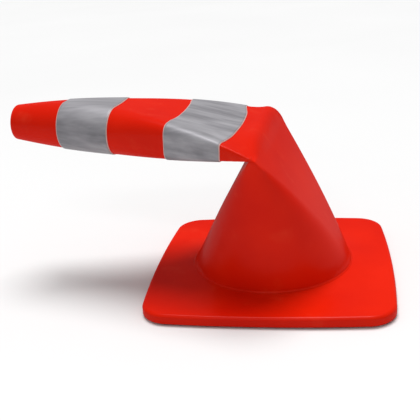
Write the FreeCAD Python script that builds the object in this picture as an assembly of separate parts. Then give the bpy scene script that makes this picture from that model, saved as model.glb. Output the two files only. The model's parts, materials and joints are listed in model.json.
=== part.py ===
"""Flexible PVC traffic cone, folded over half way up, standing on its square base.

Frame: origin on the floor under the middle of the cone's mouth, +Z up, +X towards
the side the outer bend faces.  The folded upper part lies towards -X.  Millimetres.

Every cross-section of the bent cone is a stadium: two flats joined by half circles.
Bending flattens the skin but doesn't stretch it, so a stadium keeps the perimeter
of the circle that the straight cone had at the same place.

The skin is one moulding.  Here it is cut where the fold creases it, into an inner
and an outer face and two rounded ends, with a ring at its foot and one at its tip.
"""
import FreeCAD, Part
import math
import os

from FreeCAD import Vector

# ---- base ----------------------------------------------------------------
BASE_SIDE = 406.0
SIDE_BOW = 6.0            # each side of the square bulges outwards by this much
CORNER_RADIUS = 47.0
BASE_TOP = 18.0
PAD_HEIGHT = 2.0          # moulded pads lift the underside off the floor
PAD_RADIUS = 11.0
PAD_INSET = 32.0          # from the side of the square to the middle of a pad
CORNER_PAD_INSET = 62.0
TOP_EDGE_ROUND = 6.0
BOTTOM_EDGE_ROUND = 2.0
RAMP_TOP = 24.5           # the base sweeps up to meet the cone
RAMP_RADIUS = 188.0
RAMP_START = 134.0
FLANGE_THICKNESS = 4.0
FLANGE_WIDTH = 18.0
FIT_GAP = 0.3             # between the base and the flange and foot held in it
OVERLAP = 1.0             # depth that fused pieces share

# ---- cone skin -----------------------------------------------------------
WALL = 4.0
ROOT_RADIUS = 134.0       # where the cone leaves the base
ROOT_HEIGHT = 25.0
FOLD_RADIUS = 98.7        # of the circle that the flattened fold line came from
TIP_RADIUS = 30.2
TUBE_LENGTH = 434.0       # fold line to tip
PINCHED = 4.6             # half thickness where the two walls press together

# ---- fold ----------------------------------------------------------------
FOLD_POINT = Vector(-2.5, -3.0, 248.0)
TURN = 0.06               # radians, fold line's turn about +Z
RISE = 0.06               # radians, the tube's climb towards its tip
CREASE_RADIUS = 9.0
CLEARANCE = 0.5
MIN_FLAT = 0.5            # half of the shortest flat left on a nearly round section

# ---- how the skin opens away from the fold ---------------------------------
OPEN_LENGTH = 397.0       # length over which the tube turns from flat to round
OPEN_SOFTNESS = 0.1
TUBE_LIFT = 0.2           # share of the opening that goes to the upper side
INNER_BELLY = 9.6         # outward bulge of the lower skin, fold side and far side
OUTER_BELLY = 8.0

# ---- where the skin is cut into faces and ends -----------------------------
LOWER_FACE = 88.0         # half width of the lower faces
UPPER_FACE_AT_FOLD = 100.0
UPPER_FACE_AT_TIP = 21.0

# ---- tip -----------------------------------------------------------------
TIP_BORE_RADIUS = 22.0
TIP_LIP = 12.0
TIP_ROUND = 4.0

# ---- reflective collars ----------------------------------------------------
COLLAR_WIDTH = 100.0
TIP_TO_COLLAR = 93.0
COLLAR_GAP = 106.0
GLUE = 0.2                # line of glue under the sleeve and under the film
SLEEVE = 0.9
FILM = 0.4
FILM_MARGIN = 2.0         # sleeve left bare along each edge of the film
EDGE_SWEEP = 28.0         # how far a collar's edge runs back at the side of the fold
SWEEP_WIDTH = 120.0       # half width at which that full sweep is reached

SECTIONS = 9              # sections in each loft
BIG = 1000.0              # larger than any part
UP = Vector(0, 0, 1)
FOLD_LINE = Vector(math.sin(TURN), math.cos(TURN), 0)
OUTWARD = Vector(math.cos(TURN), -math.sin(TURN), 0)
TUBE_AXIS = OUTWARD * -math.cos(RISE) + UP * math.sin(RISE)
TUBE_UP = FOLD_LINE.cross(TUBE_AXIS)


def stadium(centre, across, half_width, half_thickness):
    """Closed wire: flats along the fold line, half circles at both ends."""
    flat = max(half_width - half_thickness, MIN_FLAT)

    def point(along, over):
        return centre + FOLD_LINE * along + across * over

    corners = [point(flat, half_thickness), point(-flat, half_thickness),
               point(-flat, -half_thickness), point(flat, -half_thickness)]
    near_end = point(-flat - half_thickness, 0)
    far_end = point(flat + half_thickness, 0)
    edges = [Part.LineSegment(corners[0], corners[1]).toShape(),
             Part.Arc(corners[1], near_end, corners[2]).toShape(),
             Part.LineSegment(corners[2], corners[3]).toShape(),
             Part.Arc(corners[3], far_end, corners[0]).toShape()]
    return Part.Wire(edges)


def half_width_for(radius, half_thickness):
    """Half width of the stadium whose perimeter is that of a circle."""
    return math.pi / 2 * (radius - half_thickness) + half_thickness


def opened(distance):
    """How far the tube has opened, from 0 at the fold to nearly 1 at the tip."""
    reached = distance / OPEN_LENGTH
    return max((reached + 1 - math.hypot(reached - 1, OPEN_SOFTNESS)) / 2, 0)


def tube_section(distance, grow):
    """Stadium of the folded-over part, at a distance from the fold line."""
    part = distance / TUBE_LENGTH
    radius = FOLD_RADIUS + (TIP_RADIUS - FOLD_RADIUS) * part
    gained = (radius - PINCHED) * opened(distance)
    centre = FOLD_POINT + TUBE_AXIS * distance + TUBE_UP * (gained * TUBE_LIFT * (1 - part) ** 2)
    thickness = PINCHED + gained
    width = half_width_for(radius, thickness)
    return stadium(centre, TUBE_UP, width + grow, thickness + grow)


def lower_section(depth, grow):
    """Stadium of the standing part, at a depth below the fold line."""
    part = depth / (FOLD_POINT.z - ROOT_HEIGHT)
    radius = FOLD_RADIUS + (ROOT_RADIUS - FOLD_RADIUS) * part
    wedge = PINCHED + (ROOT_RADIUS - PINCHED) * part
    swell = 4 * part * (1 - part)
    inner = wedge + INNER_BELLY * swell * (1 - part)
    outer = wedge + OUTER_BELLY * swell
    thickness = min((inner + outer) / 2, radius)
    root_centre = Vector(0, 0, ROOT_HEIGHT)
    centre = FOLD_POINT + (root_centre - FOLD_POINT) * part + OUTWARD * (outer - inner) / 2
    width = half_width_for(radius, thickness)
    return stadium(centre, OUTWARD, width + grow, thickness + grow)


def stations(start, end, count):
    """Evenly spaced values from start to end, both included."""
    return [start + (end - start) * i / (count - 1) for i in range(count)]


def tube_solid(start, end, grow):
    """Solid inside the folded-over skin, grown outwards."""
    return Part.makeLoft([tube_section(s, grow) for s in stations(start, end, SECTIONS)], True)


def lower_solid(start, grow):
    """Solid inside the standing skin, from a depth below the fold to the root."""
    depths = stations(start, FOLD_POINT.z - ROOT_HEIGHT, SECTIONS)
    return Part.makeLoft([lower_section(depth, grow) for depth in depths], True)


def ring(outer_radius, inner_radius, bottom, top):
    """Upright ring about the origin."""
    outside = Part.makeCylinder(outer_radius, top - bottom, Vector(0, 0, bottom))
    return outside.cut(Part.makeCylinder(inner_radius, top - bottom, Vector(0, 0, bottom)))


def base_outline(height):
    """Square with bowed sides and rounded corners, all tangent, at a height."""
    half = BASE_SIDE / 2
    reach = half - CORNER_RADIUS
    side_radius = (reach ** 2 + SIDE_BOW ** 2) / (2 * SIDE_BOW)
    offset = side_radius - half
    gap = side_radius - CORNER_RADIUS
    corner = (math.sqrt(2 * gap ** 2 - offset ** 2) - offset) / 2
    lean = math.atan2(corner, offset + corner)
    edges = []
    for quarter in range(4):
        turn = quarter * math.pi / 2

        def place(x, y):
            return Vector(x * math.cos(turn) - y * math.sin(turn),
                          x * math.sin(turn) + y * math.cos(turn), height)

        start_x = -side_radius * math.sin(lean)
        start_y = offset - side_radius * math.cos(lean)
        middle = corner + CORNER_RADIUS / math.sqrt(2)
        edges.append(Part.Arc(place(start_x, start_y), place(0, -half),
                              place(-start_x, start_y)).toShape())
        edges.append(Part.Arc(place(-start_x, start_y), place(middle, -middle),
                              place(-start_y, start_x)).toShape())
    return Part.Wire(edges)


def edges_at_height(shape, height):
    """Outer edges of the plate that lie flat at a height."""
    found = []
    for edge in shape.Edges:
        box = edge.BoundBox
        if abs(box.ZMin - height) < 0.01 and abs(box.ZMax - height) < 0.01:
            found.append(edge)
    return found


def ramp():
    """Shallow hollow sweep from the flat of the base up to the cone."""
    run = RAMP_RADIUS - RAMP_START
    rise = RAMP_TOP - BASE_TOP
    sweep_radius = (run ** 2 + rise ** 2) / (2 * rise)
    half_turn = math.atan2(rise, run)
    middle = Vector(RAMP_RADIUS - sweep_radius * math.sin(half_turn), 0,
                    BASE_TOP + sweep_radius * (1 - math.cos(half_turn)))
    foot = Vector(RAMP_RADIUS, 0, BASE_TOP)
    head = Vector(RAMP_START, 0, RAMP_TOP)
    below = BASE_TOP - OVERLAP
    edges = [Part.Arc(foot, middle, head).toShape(),
             Part.LineSegment(head, Vector(RAMP_START, 0, below)).toShape(),
             Part.LineSegment(Vector(RAMP_START, 0, below), Vector(RAMP_RADIUS, 0, below)).toShape(),
             Part.LineSegment(Vector(RAMP_RADIUS, 0, below), foot).toShape()]
    return Part.Face(Part.Wire(edges)).revolve(Vector(0, 0, 0), UP, 360)


def pads():
    """Moulded pads: one at the middle of each side and one in each corner."""
    side = BASE_SIDE / 2 - PAD_INSET
    corner = BASE_SIDE / 2 - CORNER_PAD_INSET
    places = []
    for turn in range(4):
        angle = turn * math.pi / 2
        places.append(Vector(side * math.cos(angle), side * math.sin(angle), 0))
        angle += math.pi / 4
        reach = corner * math.sqrt(2)
        places.append(Vector(reach * math.cos(angle), reach * math.sin(angle), 0))
    return [Part.makeCylinder(PAD_RADIUS, PAD_HEIGHT + OVERLAP, place) for place in places]


def base_plate():
    """Square plate with pads below, a sweep up to the cone and a recess for its flange."""
    plate = Part.Face(base_outline(PAD_HEIGHT)).extrude(UP * (BASE_TOP - PAD_HEIGHT))
    plate = plate.makeFillet(TOP_EDGE_ROUND, edges_at_height(plate, BASE_TOP))
    plate = plate.makeFillet(BOTTOM_EDGE_ROUND, edges_at_height(plate, PAD_HEIGHT))
    plate = plate.fuse([ramp()] + pads())
    hole = Part.makeCylinder(ROOT_RADIUS + FIT_GAP, RAMP_TOP + OVERLAP)
    recess = Part.makeCylinder(ROOT_RADIUS + FLANGE_WIDTH + FIT_GAP, FLANGE_THICKNESS + FIT_GAP,
                               Vector(0, 0, PAD_HEIGHT))
    return plate.cut(hole).cut(recess).removeSplitter()


def cone_foot():
    """Ring at the foot of the skin, with the flange that sits under the base."""
    inside = ROOT_RADIUS - WALL
    neck = ring(ROOT_RADIUS, inside, 0, ROOT_HEIGHT)
    flange = ring(ROOT_RADIUS + FLANGE_WIDTH, inside, PAD_HEIGHT, PAD_HEIGHT + FLANGE_THICKNESS)
    return neck.fuse(flange).removeSplitter()


def cone_tip():
    """Thick ring at the tip, with a quarter-round outer edge and the bore."""
    start = TUBE_LENGTH - TIP_LIP
    body = Part.makeLoft([tube_section(s, 0) for s in stations(start, TUBE_LENGTH - TIP_ROUND, 3)], True)
    sections = []
    for angle in stations(0, math.pi / 2, 6):
        distance = TUBE_LENGTH - TIP_ROUND * (1 - math.sin(angle))
        sections.append(tube_section(distance, TIP_ROUND * (math.cos(angle) - 1)))
    bore = Part.makeCylinder(TIP_BORE_RADIUS, BIG, FOLD_POINT, TUBE_AXIS)
    return body.fuse(Part.makeLoft(sections, True)).cut(bore).removeSplitter()


def crease_bar():
    """Rounded core of the fold: thick in the middle, as thin as the two walls at its ends."""
    half = half_width_for(FOLD_RADIUS, PINCHED) - PINCHED
    start = FOLD_POINT - FOLD_LINE * half
    end = FOLD_POINT + FOLD_LINE * half
    bulge = Part.Arc(start + OUTWARD * PINCHED, FOLD_POINT + OUTWARD * CREASE_RADIUS,
                     end + OUTWARD * PINCHED).toShape()
    profile = Part.Wire([Part.LineSegment(start, start + OUTWARD * PINCHED).toShape(), bulge,
                         Part.LineSegment(end + OUTWARD * PINCHED, end).toShape(),
                         Part.LineSegment(end, start).toShape()])
    return Part.Face(profile).revolve(FOLD_POINT, FOLD_LINE, 360)


def middle_region(origin, away, half_at_start, half_at_end, length):
    """Tapered block, endless across the faces, that holds both faces and no end."""
    across = FOLD_LINE.cross(away)

    def point(distance, along):
        return origin + away * distance + FOLD_LINE * along - across * BIG / 2

    corners = [point(0, -half_at_start), point(length, -half_at_end), point(length, half_at_end),
               point(0, half_at_start), point(0, -half_at_start)]
    return Part.Face(Part.makePolygon(corners)).extrude(across * BIG)


def split_skin(skin, middle, across, names):
    """The two faces and the two ends of a skin, by node name."""
    faces = sorted(skin.common(middle).Solids, key=lambda solid: solid.CenterOfMass.dot(across))
    ends = sorted(skin.cut(middle).Solids, key=lambda solid: solid.CenterOfMass.dot(FOLD_LINE))
    return dict(zip(names, faces + ends))


def lower_skin():
    """Wedge-shaped skin from the foot ring up to the fold."""
    top_end = CREASE_RADIUS - CLEARANCE
    skin = lower_solid(top_end, 0).cut(lower_solid(top_end, -WALL)).cut(crease_bar())
    middle = middle_region(FOLD_POINT, UP * -1, LOWER_FACE, LOWER_FACE, BIG)
    return split_skin(skin, middle, OUTWARD,
                      ["lower_inner_face", "lower_outer_face", "lower_near_end", "lower_far_end"])


def upper_skin():
    """Folded-over skin from the fold to the tip ring."""
    start = CREASE_RADIUS + CLEARANCE
    end = TUBE_LENGTH - TIP_LIP
    skin = tube_solid(start, end, 0).cut(tube_solid(start, end, -WALL))
    middle = middle_region(FOLD_POINT, TUBE_AXIS, UPPER_FACE_AT_FOLD, UPPER_FACE_AT_TIP, TUBE_LENGTH)
    return split_skin(skin, middle, TUBE_UP,
                      ["upper_inner_face", "upper_outer_face", "upper_near_end", "upper_far_end"])


def plan_region(near_tip, near_fold):
    """Upright block between two swept collar edges, given as distances from the fold."""
    half_span = BASE_SIDE / 2

    def point(distance, along):
        place = FOLD_POINT + TUBE_AXIS * distance + FOLD_LINE * along
        return Vector(place.x, place.y, FOLD_POINT.z - BIG / 2)

    def swept(distance):
        sweep = EDGE_SWEEP * (1 - distance / TUBE_LENGTH) ** 2
        return distance + sweep * (half_span / SWEEP_WIDTH) ** 2

    outline = []
    for distance, side in [(near_tip, 1), (near_fold, -1)]:
        outline.append(Part.Arc(point(swept(distance), -side * half_span), point(distance, 0),
                                point(swept(distance), side * half_span)).toShape())
    for side, first, last in [(1, near_tip, near_fold), (-1, near_fold, near_tip)]:
        outline.insert(1 if side > 0 else 3,
                       Part.LineSegment(point(swept(first), side * half_span),
                                        point(swept(last), side * half_span)).toShape())
    return Part.Face(Part.Wire(outline)).extrude(UP * BIG)


def collar_layer(tip_distance, inner, outer, margin):
    """One closed layer of a collar, wrapped round the folded-over skin."""
    near_tip = TUBE_LENGTH - tip_distance - margin
    near_fold = near_tip - COLLAR_WIDTH + 2 * margin
    start = CREASE_RADIUS + CLEARANCE
    end = TUBE_LENGTH - TIP_LIP
    layer = tube_solid(start, end, outer).cut(tube_solid(start, end, inner))
    return layer.common(plan_region(near_tip, near_fold))


def collars():
    """Both collars: a vinyl sleeve with a slightly narrower film on it."""
    film_inside = GLUE + SLEEVE + GLUE
    found = {}
    for name, tip_distance in [("upper", TIP_TO_COLLAR),
                               ("lower", TIP_TO_COLLAR + COLLAR_WIDTH + COLLAR_GAP)]:
        found[name + "_collar_sleeve"] = collar_layer(tip_distance, GLUE, GLUE + SLEEVE, 0)
        found[name + "_collar_film"] = collar_layer(tip_distance, film_inside, film_inside + FILM,
                                                    FILM_MARGIN)
    return found


def main():
    os.makedirs("parts", exist_ok=True)
    nodes = {"base_plate": base_plate(), "cone_foot": cone_foot(), "fold_crease": crease_bar(),
             "cone_tip": cone_tip()}
    nodes.update(lower_skin())
    nodes.update(upper_skin())
    nodes.update(collars())
    for name, shape in nodes.items():
        shape.exportStep(os.path.join("parts", name + ".step"))
        volume = round(shape.Volume / 1000, 1)
        print(name, "solids", len(shape.Solids), "valid", shape.isValid(), "cm3", volume)


main()
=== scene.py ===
"""Looks of the folded traffic cone: one flexible skin, its collars, the base and the studio."""
import json
import math

import bpy
import numpy as np
from mathutils import Matrix, Vector


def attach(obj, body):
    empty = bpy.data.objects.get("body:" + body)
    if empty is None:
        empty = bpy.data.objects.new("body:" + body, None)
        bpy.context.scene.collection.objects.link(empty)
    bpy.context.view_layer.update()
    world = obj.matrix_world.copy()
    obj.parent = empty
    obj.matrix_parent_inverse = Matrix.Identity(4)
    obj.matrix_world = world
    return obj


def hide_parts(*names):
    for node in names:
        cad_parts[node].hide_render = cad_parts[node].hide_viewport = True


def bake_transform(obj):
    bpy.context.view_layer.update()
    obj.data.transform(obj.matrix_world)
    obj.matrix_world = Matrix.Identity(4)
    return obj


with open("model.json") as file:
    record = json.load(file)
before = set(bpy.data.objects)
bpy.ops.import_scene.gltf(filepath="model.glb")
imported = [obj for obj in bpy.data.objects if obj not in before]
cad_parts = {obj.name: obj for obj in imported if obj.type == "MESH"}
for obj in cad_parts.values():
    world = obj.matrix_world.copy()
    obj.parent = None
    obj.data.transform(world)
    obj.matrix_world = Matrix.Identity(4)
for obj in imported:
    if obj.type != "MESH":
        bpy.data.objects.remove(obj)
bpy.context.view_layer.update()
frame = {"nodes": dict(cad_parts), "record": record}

# ---- taken from the frame, metres ------------------------------------------
JOINT = frame["record"]["behaviour"]["joints"][0]
MOUNTS = {mount["name"]: mount for mount in frame["record"]["mounts"]}
FOLD_POINT = np.array(JOINT["pos_m"])
FOLD_LINE = np.array(JOINT["axis"]) / np.linalg.norm(JOINT["axis"])
TUBE_AXIS = np.array(MOUNTS["tip_bore"]["axis"])
BORE_RADIUS = MOUNTS["tip_bore"]["dims"]["r_mm"] / 1000
LIP = MOUNTS["tip_bore"]["dims"]["length_mm"] / 1000
MOUTH_RADIUS = MOUNTS["stacking_mouth"]["dims"]["r_mm"] / 1000
ROOT_HEIGHT = MOUNTS["stacking_mouth"]["dims"]["length_mm"] / 1000
UP = np.array([0.0, 0.0, 1.0])
OUTWARD = np.cross(FOLD_LINE, UP)
TUBE_UP = np.cross(FOLD_LINE, TUBE_AXIS)

# ---- skin, metres ------------------------------------------------------------
WALL = 0.004
ROOT_RADIUS = MOUTH_RADIUS + WALL
FOLD_RADIUS = 0.0987      # of the straight cone, where it is folded
TIP_RADIUS = 0.0302
TUBE_LENGTH = 0.434       # from the fold to the tip
PINCHED = 0.0024          # half thickness of the skin pressed flat at the fold
FLANGE_WIDTH = 0.018
FLANGE_BOTTOM = 0.002
FLANGE_TOP = 0.006
TIP_ROUND = 0.0025
EDGE = 0.001              # small bevel on the tip's bore
MOST_INSET = 0.75         # most that a wall takes of the half thickness, where it is pressed flat

# ---- how the tube opens again from the fold to the tip -----------------------
OPEN_LENGTH = 0.381       # distance from the fold at which it is about round
OPEN_SOFTNESS = 0.135     # share of that length over which the opening eases out
TUBE_LIFT = 0.29          # share of the opening by which the middle rises
BULGE = 0.0225            # how far the outer wall stands up behind the bend
BULGE_REACH = 0.025       # distance from the fold over which the bulge dies away
BULGE_SHOULDER = 0.110    # from the near end, over which the bulge rises
FAR_SHOULDER = 0.016      # from the far end, over which bulge and roll rise
SAG = 0.0059              # how far the outer wall sinks along the tube
SAG_SHOULDER = 0.006      # from the near end, over which the sag starts, at the fold
SAG_SHOULDER_GROWTH = 0.60    # by how much of the distance from the fold it widens
CAP_POWER = 5.0           # squareness of the folded ends near the fold
ROUND_POWER = 2.0         # squareness of a half circle
TUBE_ROUND_BY = 0.62      # shares of the length after which the ends are round
LOWER_ROUND_BY = 0.12

# ---- how the standing part swells between its straight lines ------------------
INNER_BELLY = 0.0096
OUTER_BELLY = 0.0080

# ---- how the skin bends over the fold -----------------------------------------
CREASE_REACH = 0.004      # length that bends on either side of the crease
ROLL_REACH = 0.017        # the same where the outer wall rolls over the fold
ROLL_WIDTH = 0.120        # from the near end, over which the crease turns into a roll
FOLD_FULLNESS = 1.1       # how far the bend swings out, against its chord

# ---- where the skin meets the base --------------------------------------------
RAMP_TOP = 0.02445        # height at which the base ends against the skin
JOINT_DEPTH = 0.0004      # how deep the bead's foot sits in the base
BEAD = 0.0026             # fillet that hides the joint between the skin and the base
ABOVE_BEAD = 1.5 * BEAD   # height over the base of the skin's first plain section

# ---- mesh ---------------------------------------------------------------------
AROUND = 192
FRACTIONS = np.arange(AROUND) / AROUND
LOWER_ROWS = 44
TUBE_ROWS = 84
INNER_ROWS = 60
BEND_ROWS = 13
TIP_ROWS = 7
BEAD_ROWS = 6
COLLAR_ROWS = 34
PATH_ROWS = 400
CROWDING = 1.6            # how much closer the rows lie near the fold
FOLD_NUDGE = 0.0005       # steps for measuring directions on the skin
COLLAR_NUDGE = 0.0004

SKIN_NODES = ["cone_foot", "fold_crease", "cone_tip"]
SKIN_NODES += [half + "_" + place for half in ("lower", "upper")
               for place in ("inner_face", "outer_face", "near_end", "far_end")]

# ---- collars, metres ------------------------------------------------------------
COLLAR_WIDTH = 0.100
TIP_TO_COLLAR = 0.093
COLLAR_GAP = 0.106
SLEEVE = 0.0009
FILM = 0.0004
GLUE = 0.00005
FILM_MARGIN = 0.0016

# ---- materials: linear colours and greys ----------------------------------------
PVC_DEEP = (0.585, 0.0075, 0.0010, 1)
PVC_PALE = (0.680, 0.0135, 0.0018, 1)
PVC_SCUFFED = (0.70, 0.045, 0.018, 1)
MOST_SCUFFED = 0.35
SKIN_ROUGHNESS = 0.24
BASE_ROUGHNESS = 0.28
SMOOTHER_BY = 0.03        # spread of the roughness where the PVC is rubbed
ROUGHER_BY = 0.07
PVC_GLOSS = 0.14          # weight of the coat, which is the only gloss of the PVC
FINE_DARK = (0.19, 0.185, 0.20, 1)
FINE_BRIGHT = (0.33, 0.32, 0.34, 1)
# broad streak greys: partly the film's own streaks, partly painted highlight and painted shade bands
BROAD_STREAK_PAINTED_SHADE = (0.12, 0.115, 0.13, 1)
BROAD_STREAK_PAINTED_HIGHLIGHT = (0.42, 0.41, 0.435, 1)
FINE_STREAKS = (5.0, 190.0, 190.0)    # noise scales along, over and across the tube
BROAD_STREAKS = (2.2, 40.0, 40.0)
FILM_METAL = 0.30
FILM_SMOOTHEST = 0.50
FILM_ROUGHEST = 0.62
# sleeve greys, tinted with a painted pink reflection of the orange skin
VINYL_DARK_PINK_REFLECTION = (0.50, 0.30, 0.27, 1)
VINYL_BRIGHT_PINK_REFLECTION = (0.64, 0.44, 0.41, 1)
VINYL_ROUGHNESS = 0.45
FLOOR_DARK = 0.73
FLOOR_BRIGHT = 0.75
FLOOR_ROUGHNESS = 0.9

# ---- studio ---------------------------------------------------------------------
FLOOR_SIZE = 40
FLOOR_HEIGHT = -0.0005
WORLD_STRENGTH = 0.42
KEY_POWER = 2.85
KEY_ANGLE = 0.5
KEY_HEADING = Vector((0.02, -0.25, -1.0))
STRIP_POWER = 10
STRIP_SIZE = (1.6, 0.25)
STRIP_PLACE = Vector((-0.3, -2.4, 2.2))
STRIP_TARGET = Vector((0, 0, 0.1))

# ---- camera, metres and radians ---------------------------------------------------
CAMERA_PLACE = Vector((0.0929, -1.1326, 0.5498))
CAMERA_TURN = 0.172
CAMERA_DIP = 0.363
CAMERA_ROLL = -0.075
LENS_MM = 61.28
SENSOR_MM = 36.0


def ease(value):
    """Smooth step from 0 to 1."""
    value = np.clip(value, 0.0, 1.0)
    return value * value * (3 - 2 * value)


def softer_of(first, second, blend):
    """The smaller of two values, with a smooth change from one to the other."""
    return (first + second - np.hypot(first - second, blend)) / 2


def stadium(fraction, radius, thickness, inset, power):
    """Two flats and two caps, with the perimeter of a circle; from the far end over the top.

    Gives the places along the fold line and across it, and half the section's width.
    """
    fraction, radius, thickness, power = np.broadcast_arrays(fraction, radius, thickness, power)
    flat = math.pi / 2 * (radius - thickness)
    cap = math.pi / 2 * thickness
    run = fraction * 2 * math.pi * radius
    half = cap + flat + cap + flat
    lower = run >= half
    run = np.where(lower, half + half - run, run)
    on_far_cap = run < cap
    on_flat = (run >= cap) & (run < cap + 2 * flat)
    angle = np.where(on_far_cap, run / thickness, (run - 2 * flat) / thickness)
    angle = np.where(on_flat, math.pi / 2, angle)
    half_thickness = thickness - inset
    cosine = np.sign(np.cos(angle)) * np.abs(np.cos(angle)) ** (2 / power)
    sine = np.abs(np.sin(angle)) ** (2 / power)
    cap_middle = np.where(on_far_cap, flat, -flat)
    along = np.where(on_flat, flat + cap - run, cap_middle + half_thickness * cosine)
    over = np.where(on_flat, half_thickness, half_thickness * sine)
    return along, np.where(lower, -over, over), flat + half_thickness


def outer_wall_rise(distance, from_near, from_far, over_share):
    """Extra height of the tube's outer wall, given the distances from its two ends."""
    bulge = BULGE * np.exp(-distance / BULGE_REACH)
    bulge = bulge * ease(from_near / BULGE_SHOULDER) * ease(from_far / FAR_SHOULDER)
    sag = SAG * ease(from_near / (SAG_SHOULDER + SAG_SHOULDER_GROWTH * distance))
    return (bulge - sag) * (1 - distance / TUBE_LENGTH) ** 2 * np.clip(over_share, 0.0, 1.0)


def placed(centre, across, along, over):
    """Points of a section, given along the fold line and across the skin."""
    return centre + np.multiply.outer(along, FOLD_LINE) + over[..., None] * across


def cap_power(part, round_by):
    """Squareness of the stadium's ends, fading to a half circle at a share of the length."""
    return CAP_POWER + (ROUND_POWER - CAP_POWER) * ease(part / round_by)


def tube_points(distance, fraction, inset=0.0):
    """Skin of the folded-over part, at distances from the fold line."""
    distance = np.asarray(distance, float) + 0 * fraction
    part = distance / TUBE_LENGTH
    opened = np.maximum(softer_of(distance / OPEN_LENGTH, 1, OPEN_SOFTNESS), 0)
    radius = FOLD_RADIUS + (TIP_RADIUS - FOLD_RADIUS) * part
    gained = (radius - PINCHED) * opened
    thickness = PINCHED + gained
    inset = np.minimum(inset, thickness * MOST_INSET)
    lift = gained * TUBE_LIFT * (1 - part) ** 2
    centre = FOLD_POINT + distance[..., None] * TUBE_AXIS + lift[..., None] * TUBE_UP
    power = cap_power(part, TUBE_ROUND_BY)
    along, over, half_width = stadium(fraction, radius, thickness, inset, power)
    over_share = over / (thickness - inset)
    rise = outer_wall_rise(distance, half_width + along, half_width - along, over_share)
    return placed(centre, TUBE_UP, along, over + rise)


def lower_points(depth, fraction, inset=0.0):
    """Skin of the standing part, at depths below the fold line."""
    depth = np.asarray(depth, float) + 0 * fraction
    part = depth / (FOLD_POINT[2] - ROOT_HEIGHT)
    radius = FOLD_RADIUS + (ROOT_RADIUS - FOLD_RADIUS) * part
    wedge = PINCHED + (ROOT_RADIUS - PINCHED) * part
    swell = 4 * part * (1 - part)
    inner = wedge + INNER_BELLY * swell * (1 - part)
    outer = wedge + OUTER_BELLY * swell
    thickness = np.minimum((inner + outer) / 2, radius)
    root = np.array([0.0, 0.0, ROOT_HEIGHT])
    centre = FOLD_POINT + (root - FOLD_POINT) * part[..., None]
    centre = centre + ((outer - inner) / 2)[..., None] * OUTWARD
    inset = np.minimum(inset, thickness * MOST_INSET)
    power = cap_power(part, LOWER_ROUND_BY)
    along, over, _ = stadium(fraction, radius, thickness, inset, power)
    return placed(centre, OUTWARD, along, over)


def fold_reach(fraction):
    """Distance from the fold line at which the skin starts to bend, small where it is creased."""
    along, over, half_width = stadium(fraction, FOLD_RADIUS, PINCHED, 0.0, ROUND_POWER)
    rolled = ease((half_width + along) / ROLL_WIDTH) * ease((half_width - along) / FAR_SHOULDER)
    return CREASE_REACH + (ROLL_REACH - CREASE_REACH) * rolled * np.clip(over / PINCHED, 0, 1)


def heading(vectors):
    """Directions of length one, square to the fold line."""
    square = vectors - np.multiply.outer(vectors @ FOLD_LINE, FOLD_LINE)
    return square / np.linalg.norm(square, axis=-1, keepdims=True)


def fold_points(part, fraction, inset=0.0):
    """Skin going over the bend, from the standing side (0) to the tube side (1)."""
    reach = fold_reach(fraction)
    start = lower_points(reach, fraction, inset)
    end = tube_points(reach, fraction, inset)
    chord = np.linalg.norm(end - start, axis=-1, keepdims=True) * FOLD_FULLNESS
    leave = heading(start - lower_points(reach + FOLD_NUDGE, fraction, inset)) * chord
    arrive = heading(tube_points(reach + FOLD_NUDGE, fraction, inset) - end) * chord
    square = part ** 2
    cube = part ** 3
    return (start * (2 * cube - 3 * square + 1) + leave * (cube - 2 * square + part)
            + end * (3 * square - 2 * cube) + arrive * (cube - square))


def circle_points(radius, height):
    """Round section of the foot, flange and bead."""
    angle = FRACTIONS * 2 * math.pi
    ring = np.multiply.outer(np.cos(angle), FOLD_LINE) + np.multiply.outer(np.sin(angle), OUTWARD)
    return ring * radius + UP * height


def bead_rings():
    """Small concave fillet where the skin meets the base, from the base up to the skin."""
    rings = []
    for angle in np.linspace(0, math.pi / 2, BEAD_ROWS):
        radius = ROOT_RADIUS + BEAD * (1 - math.sin(angle))
        height = RAMP_TOP + BEAD * (1 - math.cos(angle))
        rings.append(circle_points(radius, height))
    return rings


def foot_rings():
    """The foot, its flange and the bead, from the open mouth up to the skin's first section."""
    flange_radius = ROOT_RADIUS + FLANGE_WIDTH
    joint_height = RAMP_TOP - JOINT_DEPTH
    rings = [circle_points(ROOT_RADIUS, 0.0),
             circle_points(ROOT_RADIUS, FLANGE_BOTTOM),
             circle_points(flange_radius, FLANGE_BOTTOM),
             circle_points(flange_radius, FLANGE_TOP),
             circle_points(ROOT_RADIUS, FLANGE_TOP),
             circle_points(ROOT_RADIUS, joint_height),
             circle_points(ROOT_RADIUS + BEAD, joint_height)]
    return rings + bead_rings()


def tip_rings():
    """The tip's rounded rim and its bevelled bore, from the outside in."""
    rings = []
    for angle in np.linspace(0, math.pi / 2, TIP_ROWS)[1:]:
        distance = TUBE_LENGTH - TIP_ROUND * (1 - math.sin(angle))
        rings.append(tube_points(distance, FRACTIONS, TIP_ROUND * (1 - math.cos(angle))))
    for distance, radius in [(TUBE_LENGTH, BORE_RADIUS + EDGE),
                             (TUBE_LENGTH - EDGE, BORE_RADIUS),
                             (TUBE_LENGTH - LIP + EDGE, BORE_RADIUS),
                             (TUBE_LENGTH - LIP, BORE_RADIUS + EDGE)]:
        rings.append(tube_points(distance, FRACTIONS, TIP_RADIUS - radius))
    return rings


def rows_from(start, end, count):
    """Values from start to end, closer together near the start."""
    steps = np.linspace(0, 1, count)[:, None] ** CROWDING
    return start + (end - start) * steps


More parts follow.
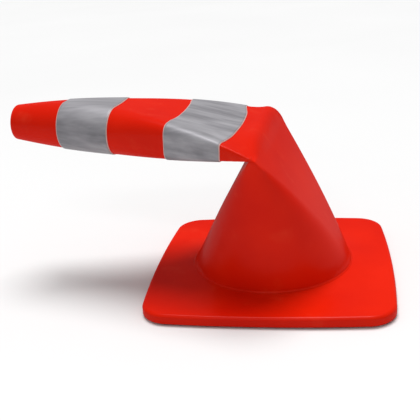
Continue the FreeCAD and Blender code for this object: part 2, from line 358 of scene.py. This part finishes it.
def skin_rings():
    """All sections of the skin in order: up the outside, over the tip and back down the inside."""
    reach = fold_reach(FRACTIONS)
    depths = rows_from(reach, FOLD_POINT[2] - RAMP_TOP - ABOVE_BEAD, LOWER_ROWS)
    distances = rows_from(reach, TUBE_LENGTH - TIP_ROUND, TUBE_ROWS)
    inner_distances = rows_from(reach, TUBE_LENGTH - LIP, INNER_ROWS)
    bends = np.linspace(0, 1, BEND_ROWS)[1:-1]
    rings = foot_rings()
    rings += [lower_points(depth, FRACTIONS) for depth in depths[::-1]]
    rings += [fold_points(bend, FRACTIONS) for bend in bends]
    rings += [tube_points(distance, FRACTIONS) for distance in distances]
    rings += tip_rings()
    rings += [tube_points(distance, FRACTIONS, WALL) for distance in inner_distances[::-1]]
    rings += [fold_points(bend, FRACTIONS, WALL) for bend in bends[::-1]]
    rings += [lower_points(depth, FRACTIONS, WALL) for depth in depths]
    rings.append(circle_points(MOUTH_RADIUS, 0.0))
    return rings


def ring_mesh(name, rings):
    """Closed mesh of quads through equal rings of points, the last joined to the first."""
    count = len(rings)
    faces = []
    for row in range(count):
        above = (row + 1) % count
        for column in range(AROUND):
            after = (column + 1) % AROUND
            faces.append((row * AROUND + column, row * AROUND + after,
                          above * AROUND + after, above * AROUND + column))
    mesh = bpy.data.meshes.new(name)
    mesh.from_pydata(np.concatenate(rings).tolist(), [], faces)
    mesh.validate()
    mesh.polygons.foreach_set("use_smooth", [True] * len(mesh.polygons))
    mesh.update()
    piece = bpy.data.objects.new(name, mesh)
    bpy.context.scene.collection.objects.link(piece)
    return piece


def path_table():
    """Distances from the fold, and the way along the skin from the tip to each, per meridian."""
    stations = np.linspace(TUBE_LENGTH, CREASE_REACH, PATH_ROWS)
    points = np.array([tube_points(station, FRACTIONS) for station in stations])
    steps = np.linalg.norm(np.diff(points, axis=0), axis=2)
    return stations, np.vstack([np.zeros(AROUND), np.cumsum(steps, axis=0)])


STATIONS, PATHS = path_table()


def wrapped_row(path, height):
    """Points at one distance along the skin from the tip, lifted off it by a height."""
    distance = np.array([np.interp(path, PATHS[:, i], STATIONS) for i in range(AROUND)])
    here = tube_points(distance, FRACTIONS)
    ahead = tube_points(distance + COLLAR_NUDGE, FRACTIONS)
    along = ahead - tube_points(distance - COLLAR_NUDGE, FRACTIONS)
    around = np.roll(here, -1, axis=0) - np.roll(here, 1, axis=0)
    normal = np.cross(along, around)
    normal /= np.linalg.norm(normal, axis=1)[:, None]
    outward = here - FOLD_POINT - np.multiply.outer((here - FOLD_POINT) @ TUBE_AXIS, TUBE_AXIS)
    side = np.sign(np.sum(normal * outward, axis=1).mean())
    return here + normal * side * height


def wrapped_layer(name, start, end, bottom, top):
    """A closed layer wrapped round the tube between two distances from the tip."""
    rows = np.linspace(start, end, COLLAR_ROWS)
    round_edge = (top - bottom) / 2
    rings = [wrapped_row(start, bottom), wrapped_row(start, top - round_edge)]
    rings += [wrapped_row(row, top) for row in np.clip(rows, start + round_edge, end - round_edge)]
    rings += [wrapped_row(end, top - round_edge), wrapped_row(end, bottom)]
    rings += [wrapped_row(row, bottom) for row in rows[::-1][1:-1]]
    return ring_mesh(name, rings)


def grey(value):
    """A grey with equal red, green and blue."""
    return (value, value, value, 1)


def new_material(name):
    """New material, with its node tree and its shader."""
    material = bpy.data.materials.new(name)
    material.use_nodes = True
    return material, material.node_tree, material.node_tree.nodes["Principled BSDF"]


def noise(tree, scale, detail, vector=None):
    """Noise texture, on object coordinates unless a vector is given."""
    texture = tree.nodes.new("ShaderNodeTexNoise")
    texture.inputs["Scale"].default_value = scale
    texture.inputs["Detail"].default_value = detail
    if vector is None:
        vector = tree.nodes.new("ShaderNodeTexCoord").outputs["Object"]
    tree.links.new(vector, texture.inputs["Vector"])
    return texture.outputs["Fac"]


def ramp(tree, value, low, high):
    """Colour ramp between two stops, each a position and a colour."""
    node = tree.nodes.new("ShaderNodeValToRGB")
    for element, (position, colour) in zip(node.color_ramp.elements, (low, high)):
        element.position = position
        element.color = colour
    tree.links.new(value, node.inputs["Fac"])
    return node.outputs["Color"]


def mixed(tree, share, first, second):
    """Colour between two, each a socket or a plain value, as the share is."""
    node = tree.nodes.new("ShaderNodeMix")
    node.data_type = "RGBA"
    sockets = [socket for socket in node.inputs if socket.enabled]
    for socket, value in zip(sockets, (share, first, second)):
        if isinstance(value, bpy.types.NodeSocket):
            tree.links.new(value, socket)
        else:
            socket.default_value = value
    return [socket for socket in node.outputs if socket.enabled][0]


def along_tube(tree, scales):
    """Object coordinates turned so that X runs along the tube, and scaled."""
    coordinates = tree.nodes.new("ShaderNodeTexCoord")
    turned = tree.nodes.new("ShaderNodeMapping")
    turned.vector_type = "TEXTURE"
    axes = Matrix((TUBE_AXIS, TUBE_UP, FOLD_LINE)).transposed()
    turned.inputs["Rotation"].default_value = axes.to_euler()
    turned.inputs["Scale"].default_value = [1 / scale for scale in scales]
    tree.links.new(coordinates.outputs["Object"], turned.inputs["Vector"])
    return turned.outputs["Vector"]


def bump(tree, value, distance, strength, below=None):
    """Bump node, chained on another one if given."""
    node = tree.nodes.new("ShaderNodeBump")
    node.inputs["Distance"].default_value = distance
    node.inputs["Strength"].default_value = strength
    tree.links.new(value, node.inputs["Height"])
    if below is not None:
        tree.links.new(below, node.inputs["Normal"])
    return node.outputs["Normal"]


def orange_pvc(name, roughness):
    """Glossy red-orange PVC: slight mottling, faint scuffs, a fine leathery skin and soft waves.

    The gloss is a thin coat alone, because its weight also holds back grazing reflections.
    """
    material, tree, shader = new_material(name)
    cloud = noise(tree, scale=7.0, detail=4.0)
    colour = ramp(tree, cloud, low=(0.3, PVC_DEEP), high=(0.7, PVC_PALE))
    scuff = noise(tree, scale=26.0, detail=3.0)
    scuffed = ramp(tree, scuff, low=(0.60, grey(0)), high=(0.80, grey(MOST_SCUFFED)))
    tree.links.new(mixed(tree, scuffed, colour, PVC_SCUFFED), shader.inputs["Base Color"])
    rub = noise(tree, scale=11.0, detail=1.0)
    rubbed = ramp(tree, rub, low=(0.1, grey(roughness - SMOOTHER_BY)),
                  high=(0.9, grey(roughness + ROUGHER_BY)))
    tree.links.new(rubbed, shader.inputs["Roughness"])
    grain = bump(tree, noise(tree, scale=420.0, detail=1.0), distance=0.00003, strength=0.30)
    waves = bump(tree, noise(tree, scale=16.0, detail=0.0), distance=0.0012, strength=0.25, below=grain)
    tree.links.new(waves, shader.inputs["Normal"])
    tree.links.new(waves, shader.inputs["Coat Normal"])
    shader.inputs["Specular IOR Level"].default_value = 0.0
    shader.inputs["Coat Weight"].default_value = PVC_GLOSS
    shader.inputs["Coat Roughness"].default_value = roughness
    return material


def silver_film(name):
    """Retroreflective film: grey, with fine streaks along the tube and a fine grain, and broad bright
    and dark streaks along it that are partly the film's own and partly painted highlight and painted
    shade.
    """
    material, tree, shader = new_material(name)
    fine = noise(tree, scale=1.0, detail=1.0, vector=along_tube(tree, FINE_STREAKS))
    broad = noise(tree, scale=1.0, detail=1.0, vector=along_tube(tree, BROAD_STREAKS))
    fine_grey = ramp(tree, fine, low=(0.25, FINE_DARK), high=(0.75, FINE_BRIGHT))
    # broad bright and dark streaks: partly the film's own streaks, partly painted highlight and painted
    # shade
    broad_streaks_painted_light = ramp(tree, broad, low=(0.30, BROAD_STREAK_PAINTED_SHADE), high=(0.72, BROAD_STREAK_PAINTED_HIGHLIGHT))
    tree.links.new(mixed(tree, 0.5, fine_grey, broad_streaks_painted_light), shader.inputs["Base Color"])
    rubbed = ramp(tree, broad, low=(0.1, grey(FILM_SMOOTHEST)), high=(0.9, grey(FILM_ROUGHEST)))
    tree.links.new(rubbed, shader.inputs["Roughness"])
    shader.inputs["Metallic"].default_value = FILM_METAL
    ribs = bump(tree, fine, distance=0.0002, strength=0.35)
    tree.links.new(bump(tree, broad, distance=0.0016, strength=0.5, below=ribs), shader.inputs["Normal"])
    return material


def white_vinyl(name):
    """Pale sleeve edge, with a faint pink painted reflection of the orange skin beside it."""
    material, tree, shader = new_material(name)
    cloud = noise(tree, scale=60.0, detail=3.0)
    # the pink in these colours is a painted reflection of the orange skin
    colour = ramp(tree, cloud, low=(0.3, VINYL_DARK_PINK_REFLECTION), high=(0.7, VINYL_BRIGHT_PINK_REFLECTION))
    tree.links.new(colour, shader.inputs["Base Color"])
    shader.inputs["Roughness"].default_value = VINYL_ROUGHNESS
    tree.links.new(bump(tree, cloud, distance=0.0002, strength=0.3), shader.inputs["Normal"])
    return material


def pale_floor(name):
    """Plain pale studio floor."""
    material, tree, shader = new_material(name)
    cloud = noise(tree, scale=0.8, detail=2.0)
    colour = ramp(tree, cloud, low=(0.3, grey(FLOOR_DARK)), high=(0.7, grey(FLOOR_BRIGHT)))
    tree.links.new(colour, shader.inputs["Base Color"])
    shader.inputs["Roughness"].default_value = FLOOR_ROUGHNESS
    return material


def dress(piece, material):
    """Give a piece one material."""
    piece.data.materials.clear()
    piece.data.materials.append(material)


def build_skin(material):
    """The flexible skin from flange to tip, bent over the fold."""
    skin = ring_mesh("cone_skin", skin_rings())
    dress(skin, material)
    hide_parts(*SKIN_NODES)
    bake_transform(skin)


def build_collars(film, vinyl):
    """Both collars: a pale sleeve and a slightly narrower film on it."""
    starts = {"upper": TIP_TO_COLLAR, "lower": TIP_TO_COLLAR + COLLAR_WIDTH + COLLAR_GAP}
    for place, start in starts.items():
        end = start + COLLAR_WIDTH
        sleeve = wrapped_layer(place + "_sleeve", start, end, GLUE, GLUE + SLEEVE)
        dress(sleeve, vinyl)
        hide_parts(place + "_collar_sleeve")
        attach(sleeve, "folded_top")
        sheet = wrapped_layer(place + "_film", start + FILM_MARGIN, end - FILM_MARGIN,
                              GLUE + SLEEVE + GLUE, GLUE + SLEEVE + GLUE + FILM)
        dress(sheet, film)
        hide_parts(place + "_collar_film")
        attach(sheet, "folded_top")


def build_floor():
    """Large pale floor just under the pads."""
    bpy.ops.mesh.primitive_plane_add(size=FLOOR_SIZE, location=(0, 0, FLOOR_HEIGHT))
    floor = bpy.context.object
    floor.name = "floor"
    dress(floor, pale_floor("pale_floor"))


def hang(light, place, direction):
    """Put a light in the scene at a place, shining in a direction."""
    lamp = bpy.data.objects.new(light.name, light)
    bpy.context.scene.collection.objects.link(lamp)
    lamp.location = place
    lamp.rotation_euler = direction.to_track_quat("-Z", "Y").to_euler()


def build_lights():
    """White surroundings, a soft key from above and behind, and a strip of light in front."""
    world = bpy.data.worlds.new("studio")
    bpy.context.scene.world = world
    world.use_nodes = True
    background = world.node_tree.nodes["Background"]
    background.inputs["Color"].default_value = (1, 1, 1, 1)
    background.inputs["Strength"].default_value = WORLD_STRENGTH
    key = bpy.data.lights.new("key", "SUN")
    key.energy = KEY_POWER
    key.angle = KEY_ANGLE
    hang(key, (0, 0, 0), KEY_HEADING)
    strip = bpy.data.lights.new("front_strip", "AREA")
    strip.shape = "RECTANGLE"
    strip.size, strip.size_y = STRIP_SIZE
    strip.energy = STRIP_POWER
    hang(strip, STRIP_PLACE, STRIP_TARGET - STRIP_PLACE)


def build_camera():
    """Camera at the reference viewing angle."""
    turn, dip, roll = CAMERA_TURN, CAMERA_DIP, CAMERA_ROLL
    forward = Vector((-math.sin(turn) * math.cos(dip), math.cos(turn) * math.cos(dip), -math.sin(dip)))
    right = Vector((math.cos(turn), math.sin(turn), 0))
    up = right.cross(forward)
    rolled_right = right * math.cos(roll) + up * math.sin(roll)
    rolled_up = up * math.cos(roll) - right * math.sin(roll)
    data = bpy.data.cameras.new("camera")
    data.lens = LENS_MM
    data.sensor_width = SENSOR_MM
    camera = bpy.data.objects.new("camera", data)
    bpy.context.scene.collection.objects.link(camera)
    turned = Matrix((rolled_right, rolled_up, -forward)).transposed().to_4x4()
    camera.matrix_world = Matrix.Translation(CAMERA_PLACE) @ turned
    bpy.context.scene.camera = camera


skin_pvc = orange_pvc("orange_skin", SKIN_ROUGHNESS)
base_pvc = orange_pvc("orange_base", BASE_ROUGHNESS)
build_skin(skin_pvc)
build_collars(silver_film("silver_film"), white_vinyl("white_vinyl"))
dress(frame["nodes"]["base_plate"], base_pvc)
build_floor()
build_lights()
build_camera()
bpy.context.scene.view_settings.view_transform = "Standard"    # keeps the orange saturated
